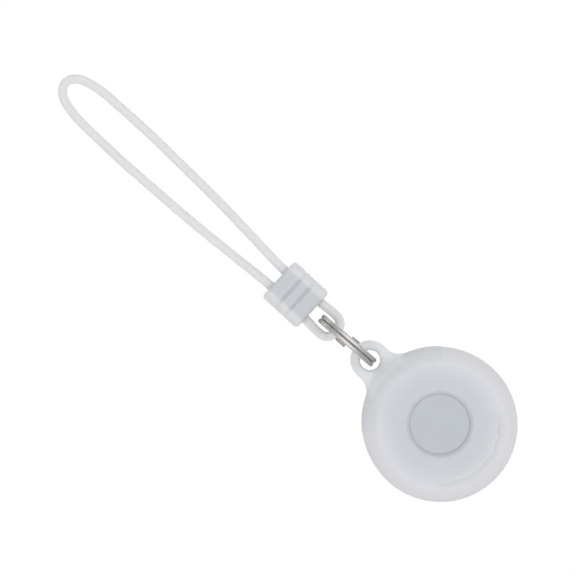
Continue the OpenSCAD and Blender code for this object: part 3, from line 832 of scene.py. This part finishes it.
def case_silicone():
    """The case's finish, as one colour moved by a mask for each thing that shows."""
    made = silicone("case_silicone", CASE_FACE, CASE_THROUGH)
    tree = made.node_tree
    surface = tree.nodes["Principled BSDF"]
    plain = surface.inputs["Base Color"].links[0].from_socket
    place = add(tree.nodes, "ShaderNodeMapping")
    place.inputs["Location"].default_value = (FRAME_X, 0, 0)
    place.inputs["Scale"].default_value = (1 / MM, 1 / MM, 1 / MM)
    link(tree, add(tree.nodes, "ShaderNodeTexCoord").outputs["Object"], place.inputs["Vector"])
    split = add(tree.nodes, "ShaderNodeSeparateXYZ")
    link(tree, place.outputs["Vector"], split.inputs[0])
    x, y = split.outputs["X"], split.outputs["Y"]
    radius = distance(tree, x, y)
    angle = maths(tree, "ABSOLUTE", maths(tree, "ARCTAN2", y, x))
    rim = smooth_step(tree, radius, RIM_FROM, RIM_TO, 0.0, 1.0)
    lug_side = smooth_step(tree, angle, COLLAR_END - LUG_SIDE_BLUR, COLLAR_END + LUG_SIDE_BLUR, 1.0, 0.0)
    outline = smooth_step(tree, radius, OUTLINE_FROM, OUTLINE_TO, 0.0, 1.0)
    by_lug = smooth_step(tree, maths(tree, "ABSOLUTE", y), LUG_R, LUG_R + KNEE, 1.0, 0.0)
    on_lug = maths(tree, "MULTIPLY", by_lug, smooth_step(tree, radius, LUG_FROM, LUG_TO, 0.0, 1.0))
    on_lug = maths(tree, "MULTIPLY", on_lug, lug_side)
    # Painted shade: on the lug's side the face grows lighter outwards by less.
    outwards = maths(tree, "MULTIPLY", smooth_step(tree, radius, CASE_FACE_EVEN, TAG_LINE_R, 0.0, 1.0),
                     smooth_step(tree, angle, LUG_SHADE_FROM, LUG_SHADE_TO, LUG_SHADE, 1.0))
    colour = tint(tree, plain, outwards, CASE_FACE_EDGE + (1,))
    foot = smooth_step(tree, radius, WINDOW_R, WINDOW_R + WINDOW_FLARE, 1.0, 0.0)
    colour = tint(tree, colour, foot, LIP_SHADE + (1,), LIP_FOOT_SHADE)
    colour = tint(tree, colour, rim, CASE_RIM + (1,))
    colour = tint(tree, colour, maths(tree, "MULTIPLY", rim, lug_side), CASE_LUG_SIDE + (1,))
    # The lug is made lighter: partly its thin silicone's own tone, partly painted light over the shade of its
    # root's fillet.
    colour = tint(tree, colour, on_lug, CASE_LUG_TONE_AND_LIGHT + (1,))
    # A faint painted highlight at the tag's edge.
    colour = tint(tree, colour, near(tree, radius, TAG_LINE_R, TAG_LINE_W), WHITE, TAG_LINE_HIGHLIGHT)
    turned = maths(tree, "SUBTRACT", maths(tree, "ARCTAN2", y, x), CLING_FACING)
    turned = maths(tree, "ABSOLUTE", maths(tree, "WRAP", turned, math.pi, -math.pi))
    facing = smooth_step(tree, turned, CLING_REACH - CLING_END_BLUR, CLING_REACH, 1.0, 0.0)
    border = radius
    for feature, reach in ((CLING_WAVE, CLING_WANDER), (CLING_JAG, CLING_JAGGED)):
        wander = maths(tree, "SUBTRACT", noise(tree, place.outputs["Vector"], feature, CLING_DETAIL), 0.5)
        border = maths(tree, "SUBTRACT", border, maths(tree, "MULTIPLY", wander, reach))
    free = smooth_step(tree, border, CLING_R - CLING_BLUR, CLING_R + CLING_BLUR, 0.0, 1.0)
    free = maths(tree, "MULTIPLY", free, maths(tree, "SUBTRACT", 1.0, rim))
    free = maths(tree, "MULTIPLY", free, smooth_step(tree, radius, CLING_R, POCKET_R, 1.0, CLING_AT_RIM))
    colour = tint(tree, colour, maths(tree, "MULTIPLY", free, facing), CLING_FREE + (1,))
    light = maths(tree, "MULTIPLY", near(tree, border, CLING_R - CLING_LINE, CLING_LIGHT_W), facing)
    colour = tint(tree, colour, light, WHITE, CLING_LIGHT)
    dark = maths(tree, "MULTIPLY", near(tree, border, CLING_R + CLING_LINE, CLING_DARK_W), facing)
    colour = tint(tree, colour, dark, LIP_SHADE + (1,), CLING_DARK)
    outline = maths(tree, "MULTIPLY", outline, maths(tree, "SUBTRACT", 1.0, on_lug))
    colour = tint(tree, colour, outline, LIP_SHADE + (1,), OUTLINE_SHADE)
    link(tree, colour, surface.inputs["Base Color"])
    return made


case_finish = case_silicone()
print("the case's finish has", len(case_finish.node_tree.nodes), "nodes")

# %% Mould the case
CASE_STEP = 0.34
MARGIN = 1.0
net_low = (-CASE_R - FRAME_X - MARGIN, -CASE_R - MARGIN, -MARGIN)
net_high = (LUG_X + LUG_R - FRAME_X + MARGIN, CASE_R + MARGIN, CASE_H + MARGIN)
case_skin = moulding("case_skin", case_rule, net_low, net_high, CASE_STEP, case_finish)

# %% [markdown]
# ## The ribbed bead
# The bead grips both strands. It is a rounded block with two grooves round it, so a finger can push it
# along. Geometry Nodes fit it well, because its shape follows a rule along its length: a rounded
# rectangle is swept along a line, and each point moves inwards by the grooves and by the rounding of the
# two ends. Two bores are then cut.

# %% The bead's sizes
BEAD_L = 11.9 * MM
BEAD_W = 12.35 * MM
BEAD_T = 6.8 * MM
BEAD_X = (43.31 - FRAME_X) * MM
BEAD_EDGE = 2.6 * MM
BEAD_END = 1.0 * MM
BORE_D = 3.0 * MM
BORE_PITCH = 5.5 * MM
GROOVE_W = 1.3 * MM
GROOVE_DEPTH = 0.42 * MM
GROOVE_FADE = 0.3
GROOVE_PITCH = 3.1 * MM
GROOVE_SHIFT = 0.05 * MM
BEAD_STEPS = 160
BEAD_SIDES = 112
EDGE_CUTS = 16
BORE_SIDES = 48
BORE_PAST = 1.5
BOTH_SIDES = (-0.5, 0.5)
print("the bead is", [round(size / MM, 2) for size in (BEAD_L, BEAD_W, BEAD_T)], "mm")


# %% The bead's rule
def bead_tree():
    """A rounded block along X, with grooves round it and two bores through it."""
    tree, given, result = new_tree("ribbed_bead", [
        ("Length", FLOAT), ("Width", FLOAT), ("Thickness", FLOAT), ("Edge", FLOAT), ("End round", FLOAT),
        ("Groove width", FLOAT), ("Groove depth", FLOAT), ("Groove pitch", FLOAT), ("Groove shift", FLOAT),
        ("Bore", FLOAT), ("Bore pitch", FLOAT), ("Steps", WHOLE), ("Sides", WHOLE), ("Material", MATERIAL)])
    half_length = maths(tree, "MULTIPLY", given["Length"], 0.5)
    ends = [add(tree.nodes, "ShaderNodeCombineXYZ") for _ in range(2)]
    link(tree, maths(tree, "MULTIPLY", half_length, -1), ends[0].inputs["X"])
    link(tree, half_length, ends[1].inputs["X"])
    line = add(tree.nodes, "GeometryNodeCurvePrimitiveLine")
    link(tree, ends[0].outputs[0], line.inputs["Start"])
    link(tree, ends[1].outputs[0], line.inputs["End"])
    spaced = add(tree.nodes, "GeometryNodeResampleCurve")
    link(tree, line.outputs["Curve"], spaced.inputs["Curve"])
    link(tree, given["Steps"], spaced.inputs["Count"])
    level = add(tree.nodes, "GeometryNodeSetCurveNormal")
    level.mode = "Z_UP"
    link(tree, spaced.outputs["Curve"], level.inputs["Curve"])
    section = add(tree.nodes, "GeometryNodeCurvePrimitiveQuadrilateral")
    link(tree, given["Width"], section.inputs["Width"])
    link(tree, given["Thickness"], section.inputs["Height"])
    rounded = add(tree.nodes, "GeometryNodeFilletCurve")
    rounded.mode = "POLY"
    rounded.inputs["Count"].default_value = EDGE_CUTS
    link(tree, section.outputs["Curve"], rounded.inputs["Curve"])
    link(tree, given["Edge"], rounded.inputs["Radius"])
    around = add(tree.nodes, "GeometryNodeResampleCurve")
    link(tree, rounded.outputs["Curve"], around.inputs["Curve"])
    link(tree, given["Sides"], around.inputs["Count"])
    sweep = add(tree.nodes, "GeometryNodeCurveToMesh")
    sweep.inputs["Fill Caps"].default_value = True
    link(tree, level.outputs["Curve"], sweep.inputs["Curve"])
    link(tree, around.outputs["Curve"], sweep.inputs["Profile Curve"])
    split = add(tree.nodes, "ShaderNodeSeparateXYZ")
    link(tree, add(tree.nodes, "GeometryNodeInputPosition").outputs[0], split.inputs[0])
    depth = bead_depth(tree, given, split.outputs["X"], split.outputs["Y"], half_length)
    facing = add(tree.nodes, "ShaderNodeVectorMath", operation="MULTIPLY")
    facing.inputs[1].default_value = (0, 1, 1)
    link(tree, add(tree.nodes, "GeometryNodeInputNormal").outputs[0], facing.inputs[0])
    unit = add(tree.nodes, "ShaderNodeVectorMath", operation="NORMALIZE")
    link(tree, facing.outputs[0], unit.inputs[0])
    inward = add(tree.nodes, "ShaderNodeVectorMath", operation="SCALE")
    link(tree, unit.outputs[0], inward.inputs[0])
    link(tree, maths(tree, "MULTIPLY", depth, -1), inward.inputs["Scale"])
    shaped = add(tree.nodes, "GeometryNodeSetPosition")
    link(tree, sweep.outputs["Mesh"], shaped.inputs["Geometry"])
    link(tree, inward.outputs[0], shaped.inputs["Offset"])
    cut = add(tree.nodes, "GeometryNodeMeshBoolean", operation="DIFFERENCE", solver="EXACT")
    link(tree, shaped.outputs["Geometry"], cut.inputs["Mesh 1"])
    for side in BOTH_SIDES:
        bore = add(tree.nodes, "GeometryNodeMeshCylinder")
        bore.inputs["Vertices"].default_value = BORE_SIDES
        link(tree, maths(tree, "MULTIPLY", given["Bore"], 0.5), bore.inputs["Radius"])
        link(tree, maths(tree, "MULTIPLY", given["Length"], BORE_PAST), bore.inputs["Depth"])
        moved = add(tree.nodes, "GeometryNodeTransform")
        moved.inputs["Rotation"].default_value = (0, math.pi / 2, 0)
        place = add(tree.nodes, "ShaderNodeCombineXYZ")
        link(tree, maths(tree, "MULTIPLY", given["Bore pitch"], side), place.inputs["Y"])
        link(tree, place.outputs[0], moved.inputs["Translation"])
        link(tree, bore.outputs["Mesh"], moved.inputs["Geometry"])
        link(tree, moved.outputs["Geometry"], cut.inputs["Mesh 2"])
    finish_tree(tree, cut.outputs["Mesh"], given["Material"], result["Geometry"])
    return tree


def bead_depth(tree, given, along, aside, half_length):
    """How far each point moves inwards, by its place along the bead; grooves are shallow on its flanks."""
    reach = maths(tree, "MULTIPLY", given["Groove width"], 0.5)
    flank = maths(tree, "MULTIPLY", given["Width"], 0.5)
    flat_until = maths(tree, "SUBTRACT", flank, given["Edge"])
    shallow = smooth_step(tree, maths(tree, "ABSOLUTE", aside), flat_until, flank, 1.0, GROOVE_FADE)
    depth = maths(tree, "MULTIPLY", given["Groove depth"], shallow)
    grooves = []
    for side in BOTH_SIDES:
        centre = maths(tree, "MULTIPLY", given["Groove pitch"], side)
        centre = maths(tree, "ADD", centre, given["Groove shift"])
        away = maths(tree, "ABSOLUTE", maths(tree, "SUBTRACT", along, centre))
        grooves.append(smooth_step(tree, away, 0.0, reach, depth, 0.0))
    start = maths(tree, "SUBTRACT", half_length, given["End round"])
    past = maths(tree, "MAXIMUM", maths(tree, "SUBTRACT", maths(tree, "ABSOLUTE", along), start), 0.0)
    squared = maths(tree, "SUBTRACT", maths(tree, "MULTIPLY", given["End round"], given["End round"]),
                    maths(tree, "MULTIPLY", past, past))
    left = maths(tree, "SQRT", maths(tree, "MAXIMUM", squared, 0.0))
    rounding = maths(tree, "SUBTRACT", given["End round"], left)
    return maths(tree, "ADD", maths(tree, "ADD", *grooves), rounding)


# %% [markdown]
# ## The bead's silicone
# The rounded flanks are painted lighter than the middle: painted light, for the light that enters them and
# leaves again nearby. The middle is darker where the cords fill the bores. Little light gets out of a groove,
# so its floor gets painted shade. The masks follow the bead's own length and width.

# %% The bead's finish
BEAD_MIDDLE = (0.65, 0.675, 0.70)
# Painted light: the flanks' lighter colour.
BEAD_LIT_FLANK = (0.78, 0.795, 0.81)
BEAD_SHADE = (0.48, 0.505, 0.525)
BEAD_BLEND = 0.6 * MM
GROOVE_SHADE = 0.3
FLANK_SHADE = 0.25


def bead_silicone():
    """The bead's finish: flanks painted lighter, a darker middle and painted shade in the grooves."""
    made = silicone("slider_silicone", BEAD_LIT_FLANK, through=0.04)
    tree = made.node_tree
    surface = tree.nodes["Principled BSDF"]
    plain = surface.inputs["Base Color"].links[0].from_socket
    place = add(tree.nodes, "ShaderNodeMapping")
    place.inputs["Location"].default_value = (-BEAD_X - BEAD_L / 2, -STRAP_Y * MM, 0)
    link(tree, add(tree.nodes, "ShaderNodeTexCoord").outputs["Object"], place.inputs["Vector"])
    split = add(tree.nodes, "ShaderNodeSeparateXYZ")
    link(tree, place.outputs["Vector"], split.inputs[0])
    along, aside = split.outputs["X"], maths(tree, "ABSOLUTE", split.outputs["Y"])
    flank = BEAD_W / 2 - BEAD_EDGE
    # Painted light: the rounded flanks keep a lighter colour than the middle.
    middle = smooth_step(tree, aside, flank - BEAD_BLEND, flank + BEAD_BLEND, 1.0, 0.0)
    colour = tint(tree, plain, middle, BEAD_MIDDLE + (1,))
    # Painted shade on the grooves' floors.
    grooves = [near(tree, along, side * GROOVE_PITCH + GROOVE_SHIFT, GROOVE_W / 2) for side in BOTH_SIDES]
    fading = maths(tree, "ADD", FLANK_SHADE, maths(tree, "MULTIPLY", middle, 1 - FLANK_SHADE))
    shade = maths(tree, "MULTIPLY", maths(tree, "MAXIMUM", *grooves), fading)
    colour = tint(tree, colour, shade, BEAD_SHADE + (1,), GROOVE_SHADE)
    link(tree, colour, surface.inputs["Base Color"])
    return made


slider_finish = bead_silicone()
print("the bead's lighter flanks are", round(BEAD_EDGE / MM, 1), "mm wide")

# %% Make the bead
bead = grow("ribbed_bead", bead_tree(), bpy.data.meshes.new("empty"), {
    "Length": BEAD_L, "Width": BEAD_W, "Thickness": BEAD_T, "Edge": BEAD_EDGE, "End round": BEAD_END,
    "Groove width": GROOVE_W, "Groove depth": GROOVE_DEPTH, "Groove pitch": GROOVE_PITCH,
    "Groove shift": GROOVE_SHIFT, "Bore": BORE_D, "Bore pitch": BORE_PITCH, "Steps": BEAD_STEPS,
    "Sides": BEAD_SIDES, "Material": slider_finish})
bead.data.transform(Matrix.Translation((BEAD_X + BEAD_L / 2, STRAP_Y * MM, BEAD_T / 2)))

# %% [markdown]
# ## Finishes for the tag
# The tag's pieces keep their CAD shapes. Only the steel cover shows in the window, so it gets a fine
# satin grain. The other pieces show faintly through the case or not at all, and each gets the finish of
# its real material.

# %% Finishes of the CAD pieces
COVER_STEEL = (0.482, 0.507, 0.532)
COVER_BRUSHED = (1, 12, 12)
CAD_FINISHES = {
    "tag_plastic": ((0.86, 0.86, 0.86), 0.25, 0.0),
    "frame_plastic": ((0.84, 0.84, 0.84), 0.45, 0.0),
    "coil_copper": ((0.72, 0.42, 0.18), 0.3, 1.0),
    "magnet_steel": ((0.5, 0.5, 0.52), 0.3, 1.0),
    "cup_steel": ((0.58, 0.59, 0.6), 0.35, 1.0),
    "board_green": ((0.05, 0.2, 0.1), 0.35, 0.0),
    "chip_black": ((0.03, 0.03, 0.032), 0.5, 0.0),
    "shield_metal": ((0.7, 0.7, 0.68), 0.35, 1.0),
    "small_parts": ((0.42, 0.3, 0.2), 0.5, 0.0),
    "antenna_plate": ((0.85, 0.62, 0.28), 0.3, 1.0),
    "contact_strip": ((0.85, 0.72, 0.42), 0.28, 1.0),
    "cell_steel": ((0.72, 0.73, 0.74), 0.25, 1.0),
    "cell_seal_plastic": ((0.05, 0.05, 0.055), 0.5, 0.0),
    "cell_filling": ((0.06, 0.06, 0.062), 0.8, 0.0),
    "seal_rubber": ((0.03, 0.03, 0.032), 0.7, 0.0),
}
finishes = {}
for name, (colour, rough, metal) in CAD_FINISHES.items():
    finishes[name] = finish_of(name, colour, rough, metal)[0]
finishes["cover_steel"] = finish_of("cover_steel", COVER_STEEL, rough=0.5, metal=1.0, drift=0.015,
                                    cloud=6 * MM, grain=0.08 * MM, bump=0.05, stretch=COVER_BRUSHED)[0]
for part in frame["record"]["subparts"]:
    if part["material_slot"] in finishes:
        for place in frame["nodes"][part["node"]].material_slots:
            place.material = finishes[part["material_slot"]]
print("CAD pieces finished:", len(finishes))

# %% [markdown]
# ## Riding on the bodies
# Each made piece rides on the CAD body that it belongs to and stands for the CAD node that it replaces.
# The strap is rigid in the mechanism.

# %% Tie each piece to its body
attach(case_skin, "case")
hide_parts("case_shell")
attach(split_ring, "split_ring")
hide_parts("split_ring")
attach(bead, "slider")
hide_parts("strap_slider")
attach(strap_loop, "strap")
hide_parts("strap_cord")
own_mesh(strap_loop)
print("pieces on bodies:", [piece.name for piece in (case_skin, split_ring, bead, strap_loop)])
